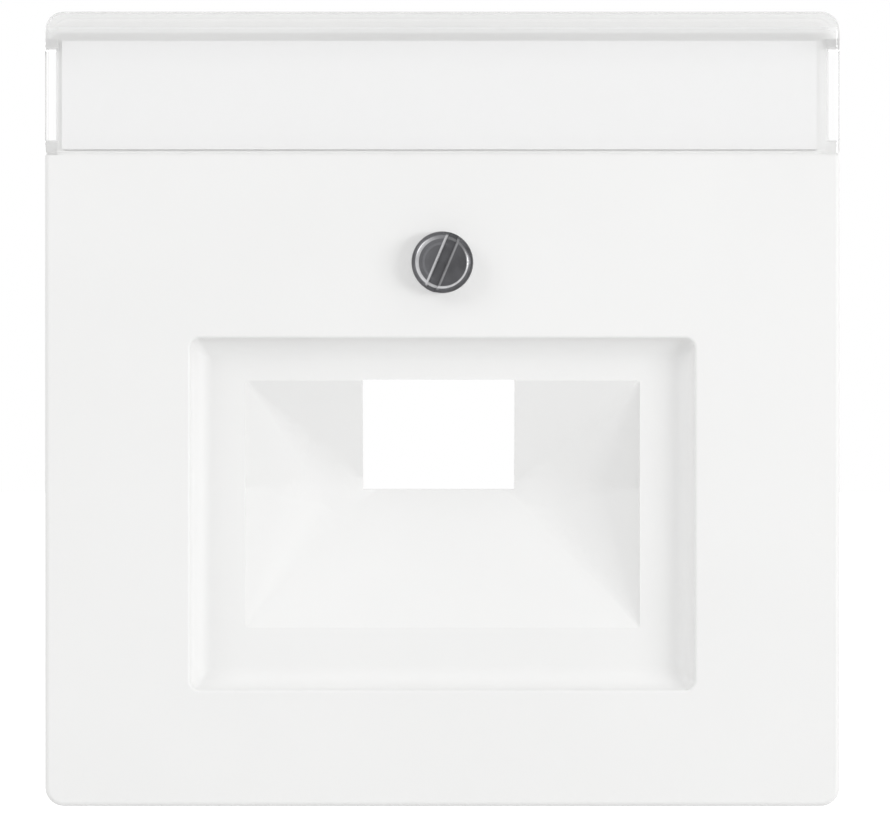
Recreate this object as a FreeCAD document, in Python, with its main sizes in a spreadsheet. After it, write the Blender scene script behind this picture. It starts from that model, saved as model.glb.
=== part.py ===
"""Centre plate of a modular-jack wall outlet, with its label window and captive fixing screw.

Frame: X to the right, Z up, the front faces -Y. The origin is the plate's axis on the rear
seat, the plane on which the skirt meets the support frame. All sizes are in millimetres.
"""

import os
import re

import FreeCAD, Part
import Sketcher
from FreeCAD import Rotation, Vector

doc = FreeCAD.newDocument("CentrePlate")

# ---------------------------------------------------------------- driving dimensions

SIZES = {
    # plate moulding
    "plate_width": 63.0,
    "plate_height": 63.0,
    "plate_depth": 9.5,
    "plate_corner": 1.5,
    "face_edge": 0.4,
    "face_wall": 2.0,
    "skirt_wall": 1.8,
    # strip step that carries the label and its cover
    "strip_height": 11.2,
    "strip_slit": 0.2,
    "cover_wall": 1.3,
    "cover_reach": 7.0,
    "cover_play": 0.1,
    "notch_drop": 2.9,
    "notch_height": 7.4,
    "notch_depth": 0.95,
    "ear_corner": 1.1,
    "ledge_depth": 1.1,
    "ledge_round": 0.4,
    # paper label in its pocket
    "pocket_margin": 0.85,
    "pocket_depth": 0.3,
    "label_slack": 1.2,
    "label_play": 0.15,
    "label_thickness": 0.2,
    "label_shift": -0.25,
    # recess in the face
    "recess_width": 40.0,
    "recess_height": 27.9,
    "recess_top": 5.6,
    "recess_depth": 1.8,
    "recess_corner": 0.8,
    "recess_lip": 0.25,
    "floor_wall": 1.6,
    "tub_edge": 0.9,
    # funnel in the recess floor and the jack window in its upper slope
    "mouth_width": 31.4,
    "mouth_height": 19.65,
    "mouth_drop": 3.35,
    "valley_depth": 5.0,
    "valley_drop": 8.6,
    "valley_width": 14.8,
    "side_depth": 2.25,
    "funnel_wall": 1.4,
    "crease_wide": 8.0,
    "crease_narrow": 0.5,
    "window_width": 12.1,
    "window_shift": -0.3,
    "window_lap": 0.08,
    # boss, ribs and screw
    "boss_diameter": 7.4,
    "boss_depth": 5.0,
    "hole_diameter": 3.4,
    "rib_thickness": 1.2,
    "rib_clearance": 3.0,
    "rib_spread": 12.0,
    "screw_rise": 11.6,
    "head_diameter": 4.9,
    "head_height": 1.5,
    "head_round": 0.6,
    "slot_width": 0.76,
    "slot_depth": 0.8,
    "slot_tilt": 23.0,
    "thread_diameter": 3.0,
    "screw_length": 20.0,
    "neck_diameter": 2.3,
    "neck_length": 8.6,
    "tip_chamfer": 0.45,
    "washer_diameter": 5.6,
    "washer_thickness": 0.8,
    "washer_fit": 0.05,
}

sheet = doc.addObject("Spreadsheet::Sheet", "Sizes")
for row, (alias, number) in enumerate(SIZES.items(), start=1):
    sheet.set(f"A{row}", alias)
    sheet.set(f"B{row}", str(number))
    sheet.setAlias(f"B{row}", alias)
doc.recompute()


def over_sheet(formula):
    """Return the formula with every alias written as a reference to the sheet."""
    aliases = "|".join(sorted(SIZES, key=len, reverse=True))
    return re.sub(rf"\b({aliases})\b", r"Sizes.\1", formula)


def size(formula):
    """Return the value, in millimetres, of a formula written with the sheet's aliases."""
    result = sheet.evalExpression(over_sheet(formula))
    return float(getattr(result, "Value", result))


# Heights and depths that several features share, as formulas over the sheet
TOP = "plate_height / 2"
SIDE = "plate_width / 2"
STRIP_FOOT = "( plate_height / 2 - strip_height - strip_slit )"
STRIP_TOP = "( plate_height / 2 - cover_wall )"
NOTCH_TOP = "( plate_height / 2 - notch_drop )"
NOTCH_FOOT = "( plate_height / 2 - notch_drop - notch_height )"
NOTCH_WALL = "( plate_width / 2 - notch_depth )"
POCKET_TOP = "( plate_height / 2 - cover_wall - pocket_margin )"
POCKET_FOOT = "( plate_height / 2 - strip_height + label_play )"
RECESS_FOOT = "( recess_top - recess_height )"
MOUTH_TOP = "( recess_top - mouth_drop )"
MOUTH_FOOT = "( recess_top - mouth_drop - mouth_height )"
VALLEY = "( recess_top - mouth_drop - valley_drop )"
FLOOR_DEPTH = "( plate_depth - recess_depth )"

# ---------------------------------------------------------------- helpers

X_AXIS = Vector(1, 0, 0)
Y_AXIS = Vector(0, 1, 0)
CLOSE = 1e-4  # mm within which two places, or two unit directions, count as one
MARGIN = 1e-6  # mm3, the least that a pocket has to remove
OFFSET_TOLERANCE = 1e-3  # mm, for the hopper's walls


def origin_plane(body, role):
    """Return the origin plane of a body that has the given role, such as XZ_Plane."""
    return next(item for item in body.Origin.OriginFeatures if item.Role == role)


def add_body(name):
    """Add a PartDesign body whose Label is its own name."""
    body = doc.addObject("PartDesign::Body", name)
    body.Label = name
    return body


def front_sketch(body, name, depth):
    """Add a sketch parallel to the face, `depth` (a formula) in front of the rear seat."""
    sketch = body.newObject("Sketcher::SketchObject", name)
    sketch.AttachmentSupport = [(origin_plane(body, "XZ_Plane"), "")]
    sketch.MapMode = "FlatFace"
    sketch.setExpression("AttachmentOffset.Base.z", over_sheet(depth))
    return sketch


def draw_rectangle(sketch, left, right, foot, top):
    """Draw a rectangle in the sketch whose four sides follow formulas over the sheet."""
    x0, x1 = size(left), size(right)
    y0, y1 = size(foot), size(top)
    corners = [Vector(x0, y0), Vector(x1, y0), Vector(x1, y1), Vector(x0, y1)]
    first = sketch.GeometryCount
    for index, corner in enumerate(corners):
        sketch.addGeometry(Part.LineSegment(corner, corners[(index + 1) % len(corners)]))
    for index in range(len(corners)):
        ends = (first + index, 2, first + (index + 1) % len(corners), 1)
        sketch.addConstraint(Sketcher.Constraint("Coincident", *ends))
        direction = "Vertical" if index % 2 else "Horizontal"
        sketch.addConstraint(Sketcher.Constraint(direction, first + index))
    bind(sketch, "DistanceX", first, 1, left)
    bind(sketch, "DistanceX", first + 1, 1, right)
    bind(sketch, "DistanceY", first, 1, foot)
    bind(sketch, "DistanceY", first + 2, 1, top)


def bind(sketch, kind, geometry, point, formula):
    """Hold one point of the sketch at a signed distance from its origin."""
    arguments = (-1, 1, geometry, point, size(formula))
    index = sketch.addConstraint(Sketcher.Constraint(kind, *arguments))
    sketch.setExpression(f"Constraints[{index}]", over_sheet(formula))


def draw_circle(sketch, height, diameter):
    """Draw a circle on the sketch's vertical axis, at a height and with a diameter."""
    radius = size(diameter) / 2
    circle = Part.Circle(Vector(0, size(height)), Vector(0, 0, 1), radius)
    index = sketch.addGeometry(circle)
    sketch.addConstraint(Sketcher.Constraint("PointOnObject", index, 3, -2))
    bind(sketch, "DistanceY", index, 3, height)
    width = sketch.addConstraint(Sketcher.Constraint("Diameter", index, radius * 2))
    sketch.setExpression(f"Constraints[{width}]", over_sheet(diameter))


def pad(body, sketch, name, length, backwards=False):
    """Pad the sketch towards the front, or backwards, by a formula's length."""
    feature = body.newObject("PartDesign::Pad", name)
    feature.Profile = sketch
    feature.setExpression("Length", over_sheet(length))
    feature.Reversed = backwards
    doc.recompute()
    return feature


def pocket(body, sketch, name, length, forwards=False):
    """Pocket the sketch towards the rear, or forwards, and check that it cuts."""
    before = body.Shape.Volume
    feature = body.newObject("PartDesign::Pocket", name)
    feature.Profile = sketch
    feature.setExpression("Length", over_sheet(length))
    feature.Reversed = forwards
    doc.recompute()
    if body.Shape.Volume > before - MARGIN:
        raise RuntimeError(f"{name} removes nothing")
    return feature


def pick_edges(shape, test):
    """Return the names of the shape's edges that pass a test."""
    return [f"Edge{i}" for i, edge in enumerate(shape.Edges, start=1) if test(edge)]


def round_edges(body, name, radius, test):
    """Fillet the edges of the body's tip that pass a test."""
    base = body.Tip
    names = pick_edges(base.Shape, test)
    feature = body.newObject("PartDesign::Fillet", name)
    feature.Base = (base, names)
    feature.setExpression("Radius", over_sheet(radius))
    doc.recompute()
    return feature


def runs_along(edge, axis):
    """Tell whether a straight edge is parallel to an axis."""
    if edge.Curve.TypeId != "Part::GeomLine":
        return False
    return edge.tangentAt(edge.FirstParameter).cross(axis).Length < CLOSE


def lies_at(edge, depth):
    """Tell whether a whole edge lies in the plane `depth` mm in front of the rear seat."""
    box = edge.BoundBox
    return abs(box.YMin + depth) < CLOSE and abs(box.YMax + depth) < CLOSE


# ---------------------------------------------------------------- plate moulding

PLATE_FACE = "plate_depth"
STRIP_FLOOR = "( plate_depth - cover_wall )"
LEDGE_FLOOR = "( plate_depth - cover_wall - ledge_depth )"
OUTSIDE = "( plate_width / 2 + plate_corner )"
ABOVE = "( plate_height / 2 + plate_corner )"
INNER_FACE = "( plate_depth - face_wall )"
INTO_FACE = "face_wall / 2"


def build_block(plate):
    """Pad the outline from the rear seat to the face and round its lower corners."""
    outline = front_sketch(plate, "Outline", "0 mm")
    draw_rectangle(outline, f"-{SIDE}", SIDE, f"-{TOP}", TOP)
    pad(plate, outline, "Block", PLATE_FACE)

    def is_lower_corner(edge):
        return runs_along(edge, Y_AXIS) and edge.BoundBox.ZMax < 0

    round_edges(plate, "LowerCorners", "plate_corner", is_lower_corner)


def hollow_rear(plate):
    """Hollow the block from the rear, deeper behind the face than behind the strip."""
    main = front_sketch(plate, "HollowOutline", "0 mm")
    wall_x = "plate_width / 2 - skirt_wall"
    wall_z = "plate_height / 2 - skirt_wall"
    hollow_top = f"{STRIP_FOOT} - face_wall"
    draw_rectangle(main, f"- ( {wall_x} )", wall_x, f"- ( {wall_z} )", hollow_top)
    pocket(plate, main, "Hollow", INNER_FACE, forwards=True)
    upper = front_sketch(plate, "StripHollowOutline", "0 mm")
    wall_x = f"{NOTCH_WALL} - skirt_wall"
    draw_rectangle(upper, f"- ( {wall_x} )", wall_x, "0 mm", f"{STRIP_TOP} - skirt_wall")
    length = f"{STRIP_FLOOR} - pocket_depth - face_wall"
    pocket(plate, upper, "StripHollow", length, forwards=True)


def add_tub(plate):
    """Add the tub that carries the recess behind the face, with its rounded rear edges."""
    rear = f"{FLOOR_DEPTH} - floor_wall"
    tub = front_sketch(plate, "TubOutline", rear)
    wall_x = "recess_width / 2 + floor_wall"
    foot, top = f"{RECESS_FOOT} - floor_wall", "recess_top + floor_wall"
    draw_rectangle(tub, f"- ( {wall_x} )", wall_x, foot, top)
    pad(plate, tub, "Tub", f"recess_depth + floor_wall - {INTO_FACE}")
    depth = size(rear)
    round_edges(plate, "TubEdges", "tub_edge", lambda e: lies_at(e, depth))


def add_boss_and_ribs(plate):
    """Add the screw boss and the stiffening ribs between tub, skirt and strip wall."""
    boss = front_sketch(plate, "BossOutline", "plate_depth - boss_depth")
    draw_circle(boss, "screw_rise", "boss_diameter")
    pad(plate, boss, "Boss", f"boss_depth - {INTO_FACE}")
    ribs = front_sketch(plate, "RibOutlines", "rib_clearance")
    half = "rib_thickness / 2"
    skirt_z = "plate_height / 2 - skirt_wall / 2"
    skirt_x = "plate_width / 2 - skirt_wall / 2"
    for side in ("-", ""):
        inner, outer = f"{side}rib_spread - {half}", f"{side}rib_spread + {half}"
        draw_rectangle(ribs, inner, outer, f"- ( {skirt_z} )", RECESS_FOOT)
        draw_rectangle(ribs, inner, outer, "recess_top", f"{STRIP_TOP} - skirt_wall / 2")
    foot, top = f"{VALLEY} - {half}", f"{VALLEY} + {half}"
    draw_rectangle(ribs, f"- ( {skirt_x} )", "- recess_width / 2", foot, top)
    draw_rectangle(ribs, "recess_width / 2", skirt_x, foot, top)
    pad(plate, ribs, "Ribs", f"plate_depth - rib_clearance - {INTO_FACE}")


def cut_strip(plate):
    """Cut the steps, notches and pocket for cover and label, and the ledge round the bed."""
    step = front_sketch(plate, "StepOutline", PLATE_FACE)
    draw_rectangle(step, f"- {OUTSIDE}", OUTSIDE, STRIP_FOOT, ABOVE)
    pocket(plate, step, "Step", "cover_wall")
    top_step = front_sketch(plate, "TopStepOutline", PLATE_FACE)
    draw_rectangle(top_step, f"- {OUTSIDE}", OUTSIDE, STRIP_TOP, ABOVE)
    pocket(plate, top_step, "TopStep", "cover_reach")
    notches = front_sketch(plate, "NotchOutlines", PLATE_FACE)
    draw_rectangle(notches, NOTCH_WALL, OUTSIDE, NOTCH_FOOT, NOTCH_TOP)
    draw_rectangle(notches, f"- {OUTSIDE}", f"- {NOTCH_WALL}", NOTCH_FOOT, NOTCH_TOP)
    pocket(plate, notches, "Notches", "plate_depth")
    label = front_sketch(plate, "PocketOutline", STRIP_FLOOR)
    draw_rectangle(label, f"- {NOTCH_WALL}", NOTCH_WALL, POCKET_FOOT, POCKET_TOP)
    pocket(plate, label, "LabelPocket", "pocket_depth")
    ledge = front_sketch(plate, "LedgeOutlines", STRIP_FLOOR)
    draw_rectangle(ledge, f"- {OUTSIDE}", OUTSIDE, POCKET_TOP, ABOVE)
    draw_rectangle(ledge, NOTCH_WALL, OUTSIDE, STRIP_FOOT, NOTCH_FOOT)
    draw_rectangle(ledge, f"- {OUTSIDE}", f"- {NOTCH_WALL}", STRIP_FOOT, NOTCH_FOOT)
    pocket(plate, ledge, "Ledge", "ledge_depth")


def round_plate(plate):
    """Round the ears of the strip, the ledge above the label and the edge of the face."""
    strip_top, strip_foot, notch_wall = size(STRIP_TOP), size(STRIP_FOOT), size(NOTCH_WALL)
    ledge, pocket_top, face = size(LEDGE_FLOOR), size(POCKET_TOP), size(PLATE_FACE)

    def is_ear(edge):
        box = edge.BoundBox
        at_top = abs(box.ZMax - strip_top) < CLOSE and abs(box.ZMin - strip_top) < CLOSE
        return runs_along(edge, Y_AXIS) and at_top and abs(box.Center.x) > notch_wall

    def is_flange_corner(edge):
        return runs_along(edge, Y_AXIS) and edge.BoundBox.ZMin > strip_top + CLOSE

    def is_ledge_edge(edge):
        return lies_at(edge, ledge) and edge.BoundBox.ZMin > pocket_top + CLOSE

    def is_face_edge(edge):
        return lies_at(edge, face) and edge.BoundBox.ZMin < strip_foot - CLOSE

    round_edges(plate, "Ears", "ear_corner", is_ear)
    round_edges(plate, "FlangeCorners", "plate_corner", is_flange_corner)
    round_edges(plate, "LedgeEdge", "ledge_round", is_ledge_edge)
    round_edges(plate, "FaceEdge", "face_edge", is_face_edge)


def build_plate_moulding():
    """Build the plate without its recess, funnel and screw hole."""
    plate = add_body("plate_moulding")
    build_block(plate)
    hollow_rear(plate)
    add_tub(plate)
    add_boss_and_ribs(plate)
    cut_strip(plate)
    round_plate(plate)
    return plate


# ---------------------------------------------------------------- recess and funnel


def build_recess_tool():
    """Build the space of the recess: coved walls that run out softly in the corners."""
    tool = add_body("recess_space")
    floor = front_sketch(tool, "FloorOutline", FLOOR_DEPTH)
    half = "recess_width / 2"
    draw_rectangle(floor, f"- {half}", half, RECESS_FOOT, "recess_top")
    pad(tool, floor, "Space", "recess_depth + face_wall")
    depth = size(FLOOR_DEPTH)
    round_edges(tool, "Coves", "recess_depth", lambda e: lies_at(e, depth))
    round_edges(tool, "Corners", "recess_corner", lambda e: runs_along(e, Y_AXIS))
    return tool


def funnel_points():
    """Return the corners of the funnel's space: mouth, side dips and ends of the valley."""
    mouth_x, valley_x = size("mouth_width / 2"), size("valley_width / 2")
    top, foot, valley = size(MOUTH_TOP), size(MOUTH_FOOT), size(VALLEY)
    floor = -size(FLOOR_DEPTH)
    dip, deep = floor + size("side_depth"), floor + size("valley_depth")
    points = {}
    for side, sign in (("left", -1), ("right", 1)):
        points[side, "top"] = Vector(sign * mouth_x, floor, top)
        points[side, "foot"] = Vector(sign * mouth_x, floor, foot)
        points[side, "dip"] = Vector(sign * mouth_x, dip, valley)
        points[side, "valley"] = Vector(sign * valley_x, deep, valley)
    return points


MOUTH = [("right", "top"), ("left", "top"), ("left", "foot"), ("right", "foot")]
UPPER_SLOPE = [("right", "top"), ("right", "valley"), ("left", "valley"), ("left", "top")]
LOWER_SLOPE = [("right", "foot"), ("left", "foot"), ("left", "valley"), ("right", "valley")]


def side_facets(side):
    """Return the three facets at one side of the funnel: two slopes and the upright one."""
    return [
        [(side, "top"), (side, "dip"), (side, "valley")],
        [(side, "dip"), (side, "foot"), (side, "valley")],
        [(side, "top"), (side, "foot"), (side, "dip")],
    ]


def funnel_solid(points):
    """Close the facets between the funnel's corners into a solid."""
    facets = [MOUTH, UPPER_SLOPE, LOWER_SLOPE, *side_facets("left"), *side_facets("right")]
    faces = []
    for names in facets:
        corners = [points[name] for name in names]
        faces.append(Part.Face(Part.makePolygon(corners + corners[:1])))
    return Part.makeSolid(Part.makeShell(faces))


def edge_between(shape, start, end):
    """Return (number, reversed) of the shape's edge from one point to another."""
    for number, edge in enumerate(shape.Edges, start=1):
        first, last = (vertex.Point for vertex in edge.Vertexes)
        if first.isEqual(start, CLOSE) and last.isEqual(end, CLOSE):
            return number, False
        if first.isEqual(end, CLOSE) and last.isEqual(start, CLOSE):
            return number, True
    raise RuntimeError("the funnel lacks a crease")


def build_funnel_space():
    """Build the funnel's space, its creases opening softly from the mouth to the valley."""
    points = funnel_points()
    sharp = doc.addObject("Part::Feature", "funnel_facets")
    sharp.Shape = funnel_solid(points)
    wide, narrow = size("crease_wide"), size("crease_narrow")
    creases = []
    for side in ("left", "right"):
        for name in ("top", "foot", "dip"):
            ends = points[side, "valley"], points[side, name]
            number, turned = edge_between(sharp.Shape, *ends)
            radii = (narrow, wide) if turned else (wide, narrow)
            creases.append((number, *radii))
    space = doc.addObject("Part::Fillet", "funnel_space")
    space.Base = sharp
    space.Edges = creases
    doc.recompute()
    return sharp, space


def build_hopper(sharp):
    """Build the funnel's wall: its facets moved outwards, cut off in the recess floor."""
    wall = size("funnel_wall")
    outer = sharp.Shape.makeOffsetShape(wall, OFFSET_TOLERANCE, inter=True, join=2)
    box = outer.BoundBox
    front = -size(FLOOR_DEPTH) + size("floor_wall / 2")
    corner = Vector(box.XMin, front, box.ZMin)
    keep = Part.makeBox(box.XLength, box.YMax - front, box.ZLength, corner)
    hopper = doc.addObject("Part::Feature", "funnel_hopper")
    hopper.Shape = outer.common(keep)
    return hopper


def add_prism(name, left, right, foot, top, rear, front):
    """Add a Part::Box between six planes given as formulas over the sheet."""
    box = doc.addObject("Part::Box", name)
    box.setExpression("Length", over_sheet(f"{right} - ( {left} )"))
    box.setExpression("Height", over_sheet(f"{top} - ( {foot} )"))
    box.setExpression("Width", over_sheet(f"{front} - ( {rear} )"))
    box.setExpression("Placement.Base.x", over_sheet(left))
    box.setExpression("Placement.Base.y", over_sheet(f"- ( {front} )"))
    box.setExpression("Placement.Base.z", over_sheet(foot))
    return box


def build_window():
    """Build the jack window: a shut-off along the plate's depth through the upper slope."""
    half = "window_width / 2"
    return add_prism(
        "jack_window",
        f"window_shift - {half}",
        f"window_shift + {half}",
        f"{VALLEY} - window_lap",
        f"{MOUTH_TOP} + window_lap",
        "- plate_depth",
        FLOOR_DEPTH + " + window_lap",
    )


def build_screw_hole():
    """Build the clearance hole through face and boss."""
    hole = doc.addObject("Part::Cylinder", "screw_hole")
    hole.setExpression("Radius", over_sheet("hole_diameter / 2"))
    hole.setExpression("Height", over_sheet("plate_depth * 2"))
    hole.setExpression("Placement.Base.z", over_sheet("screw_rise"))
    hole.setExpression("Placement.Base.y", over_sheet("plate_depth"))
    hole.Placement.Rotation = Rotation(X_AXIS, 90)
    return hole


def fuse(name, pieces):
    """Fuse document objects into one."""
    result = doc.addObject("Part::MultiFuse", name)
    result.Shapes = pieces
    result.Refine = True
    return result


def cut(name, base, tool):
    """Cut one document object with another."""
    result = doc.addObject("Part::Cut", name)
    result.Base = base
    result.Tool = tool
    result.Refine = True
    return result


def round_lip(opened):
    """Round the lip between the face and the recess."""
    face, radius = size(PLATE_FACE), size("recess_lip")
    side, top, foot = size("recess_width / 2"), size("recess_top"), size(RECESS_FOOT)
    lip = []
    for number, edge in enumerate(opened.Shape.Edges, start=1):
        box = edge.BoundBox
        within_x = max(box.XMax, -box.XMin) < side + CLOSE
        within_z = box.ZMax < top + CLOSE and box.ZMin > foot - CLOSE
        if lies_at(edge, face) and within_x and within_z:
            lip.append((number, radius, radius))
    rounded = doc.addObject("Part::Fillet", "rounded_plate")
    rounded.Base = opened
    rounded.Edges = lip
    doc.recompute()
    return rounded


def build_centre_plate():
    """Build the whole plate: the moulding with its recess, funnel, window and screw hole."""
    plate = build_plate_moulding()
    sharp, space = build_funnel_space()
    hopper = build_hopper(sharp)
    solid = fuse("plate_with_hopper", [plate, hopper])
    openings = [build_recess_tool(), space, build_window(), build_screw_hole()]
    opened = cut("opened_plate", solid, fuse("plate_openings", openings))
    doc.recompute()
    return round_lip(opened)


# ---------------------------------------------------------------- label and its cover


def build_label_cover():
    """Build the clear cover: front wall, top wall over the rim and a lug for each notch."""
    cover = add_body("cover_moulding")
    front = front_sketch(cover, "CoverOutline", PLATE_FACE)
    cover_foot = f"{TOP} - strip_height"
    draw_rectangle(front, f"- {SIDE}", SIDE, cover_foot, TOP)
    pad(cover, front, "CoverWall", "cover_wall", backwards=True)
    top = front_sketch(cover, "TopWallOutline", PLATE_FACE)
    draw_rectangle(top, f"- {SIDE}", SIDE, f"{STRIP_TOP} + cover_play", TOP)
    pad(cover, top, "TopWall", "cover_reach", backwards=True)
    lugs = front_sketch(cover, "LugOutlines", PLATE_FACE)
    lug_inner = f"( {NOTCH_WALL} + cover_play )"
    lug_foot, lug_top = f"{NOTCH_FOOT} + cover_play", f"{NOTCH_TOP} - cover_play"
    draw_rectangle(lugs, lug_inner, SIDE, lug_foot, lug_top)
    draw_rectangle(lugs, f"- {SIDE}", f"- {lug_inner}", lug_foot, lug_top)
    pad(cover, lugs, "Lugs", "cover_reach", backwards=True)
    top_z, face, foot_z = size(TOP), size(PLATE_FACE), size(cover_foot)

    def is_top_corner(edge):
        return runs_along(edge, Y_AXIS) and edge.BoundBox.ZMin > top_z - CLOSE

    def is_face_edge(edge):
        return lies_at(edge, face) and edge.BoundBox.ZMax > foot_z + CLOSE

    round_edges(cover, "CoverCorners", "plate_corner", is_top_corner)
    round_edges(cover, "CoverEdge", "face_edge", is_face_edge)
    return cover


def build_label_strip():
    """Build the paper label, lying on the floor of its pocket and pushed to one side."""
    label = add_body("paper_strip")
    outline = front_sketch(label, "LabelOutline", f"{STRIP_FLOOR} - pocket_depth")
    half = f"( {NOTCH_WALL} - label_slack / 2 )"
    left, right = f"label_shift - {half}", f"label_shift + {half}"
    foot, top = f"{POCKET_FOOT} + label_play", f"{POCKET_TOP} - label_play"
    draw_rectangle(outline, left, right, foot, top)
    pad(label, outline, "Sheet", "label_thickness")
    return label


# ---------------------------------------------------------------- screw and washer


def profile_sketch(body, name, points):
    """Draw a closed half profile: (radius, depth behind the rear seat) formulas in turn.

    The sketch lies in the YZ plane, with the screw's axis as its horizontal line.
    """
    sketch = body.newObject("Sketcher::SketchObject", name)
    sketch.AttachmentSupport = [(origin_plane(body, "YZ_Plane"), "")]
    sketch.MapMode = "FlatFace"
    corners = [Vector(size(depth), size(radius)) for radius, depth in points]
    for index, corner in enumerate(corners):
        sketch.addGeometry(Part.LineSegment(corner, corners[(index + 1) % len(corners)]))
    for index in range(len(corners)):
        ends = (index, 2, (index + 1) % len(corners), 1)
        sketch.addConstraint(Sketcher.Constraint("Coincident", *ends))
    for index, (radius, depth) in enumerate(points):
        bind(sketch, "DistanceX", index, 1, depth)
        bind(sketch, "DistanceY", index, 1, radius)
    return sketch


def revolve(body, sketch, name):
    """Revolve a half profile about the body's Y axis."""
    feature = body.newObject("PartDesign::Revolution", name)
    feature.Profile = sketch
    feature.ReferenceAxis = (sketch, ["H_Axis"])
    feature.Angle = 360
    doc.recompute()
    return feature


def build_fixing_screw():
    """Build the captive screw: slotted round-edged head, neck, shank and tip chamfer."""
    screw = add_body("slotted_screw")
    head_rear = "- plate_depth"
    head_front = f"{head_rear} - head_height"
    neck_end, tip = "neck_length - plate_depth", "screw_length - plate_depth"
    thread = "thread_diameter / 2"
    points = [
        ("0 mm", head_front),
        ("head_diameter / 2", head_front),
        ("head_diameter / 2", head_rear),
        ("neck_diameter / 2", head_rear),
        ("neck_diameter / 2", neck_end),
        (thread, neck_end),
        (thread, f"{tip} - tip_chamfer"),
        (f"{thread} - tip_chamfer", tip),
        ("0 mm", tip),
    ]
    revolve(screw, profile_sketch(screw, "ScrewProfile", points), "Turned")
    front = -size(head_front)
    round_edges(screw, "HeadEdge", "head_round", lambda e: lies_at(e, front))
    slot = front_sketch(screw, "SlotOutline", "plate_depth + head_height")
    half = "slot_width / 2"
    draw_rectangle(slot, f"- {half}", half, "- head_diameter", "head_diameter")
    pocket(screw, slot, "Slot", "slot_depth")
    return screw


def build_retaining_washer():
    """Build the washer that keeps the screw: it sits on the neck, against the thread."""
    washer = add_body("neck_washer")
    rear = "neck_length - plate_depth"
    front = f"{rear} - washer_thickness"
    bore, rim = "neck_diameter / 2 + washer_fit", "washer_diameter / 2"
    points = [(bore, front), (rim, front), (rim, rear), (bore, rear)]
    revolve(washer, profile_sketch(washer, "WasherProfile", points), "Ring")
    return washer


def place_on_screw_axis(body, turn=0.0):
    """Move a piece built about the frame's Y axis onto the screw's axis, turned about it."""
    body.setExpression("Placement.Base.z", over_sheet("screw_rise"))
    body.Placement.Rotation = Rotation(Y_AXIS, turn)


# ---------------------------------------------------------------- the finished pieces


def name_piece(piece, label):
    """Give a finished piece the Label that names its node."""
    piece.Label = label
    return piece


def check_document():
    """Stop if any object of the document failed."""
    for item in doc.Objects:
        if {"Invalid", "Error"} & set(item.State):
            raise RuntimeError(f"{item.Label} failed: {item.State}")


def main():
    """Build every piece, check it and write it to its own STEP file."""
    screw, washer = build_fixing_screw(), build_retaining_washer()
    place_on_screw_axis(screw, size("slot_tilt"))
    place_on_screw_axis(washer)
    pieces = [
        name_piece(build_centre_plate(), "centre_plate"),
        name_piece(build_label_cover(), "label_cover"),
        name_piece(build_label_strip(), "label_strip"),
        name_piece(screw, "fixing_screw"),
        name_piece(washer, "retaining_washer"),
    ]
    doc.recompute()
    check_document()
    os.makedirs("parts", exist_ok=True)
    for piece in pieces:
        shape = piece.Shape
        if shape.isNull() or not shape.isValid() or len(shape.Solids) != 1:
            raise RuntimeError(f"{piece.Label} is not one valid solid")
        shape.exportStep(f"parts/{piece.Label}.step")
        print(f"{piece.Label}: {shape.Volume:.1f} mm3, {len(shape.Faces)} faces")


main()
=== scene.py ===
"""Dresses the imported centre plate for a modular-jack wall outlet and lights it.

Everything is in metres in the plate's own frame: X to the right, Z up, the face towards -Y.
"""

import logging
import math
from collections.abc import Callable
from dataclasses import dataclass, field
from enum import Enum

import bpy
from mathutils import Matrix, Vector


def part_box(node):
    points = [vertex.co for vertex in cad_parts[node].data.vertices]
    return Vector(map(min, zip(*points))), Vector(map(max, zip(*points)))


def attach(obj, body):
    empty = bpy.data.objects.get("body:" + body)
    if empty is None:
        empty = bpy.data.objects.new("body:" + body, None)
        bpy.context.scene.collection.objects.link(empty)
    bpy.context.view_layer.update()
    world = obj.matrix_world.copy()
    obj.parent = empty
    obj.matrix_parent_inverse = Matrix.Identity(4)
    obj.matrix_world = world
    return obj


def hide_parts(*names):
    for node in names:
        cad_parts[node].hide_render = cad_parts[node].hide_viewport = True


log = logging.getLogger("centre_plate")

MM = 0.001


class Cut(Enum):
    """The ways in which one piece can work on another."""

    JOIN = "UNION"
    REMOVE = "DIFFERENCE"
    TRIM = "INTERSECT"


# ------------------------------------------------------------------ node helpers


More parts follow.
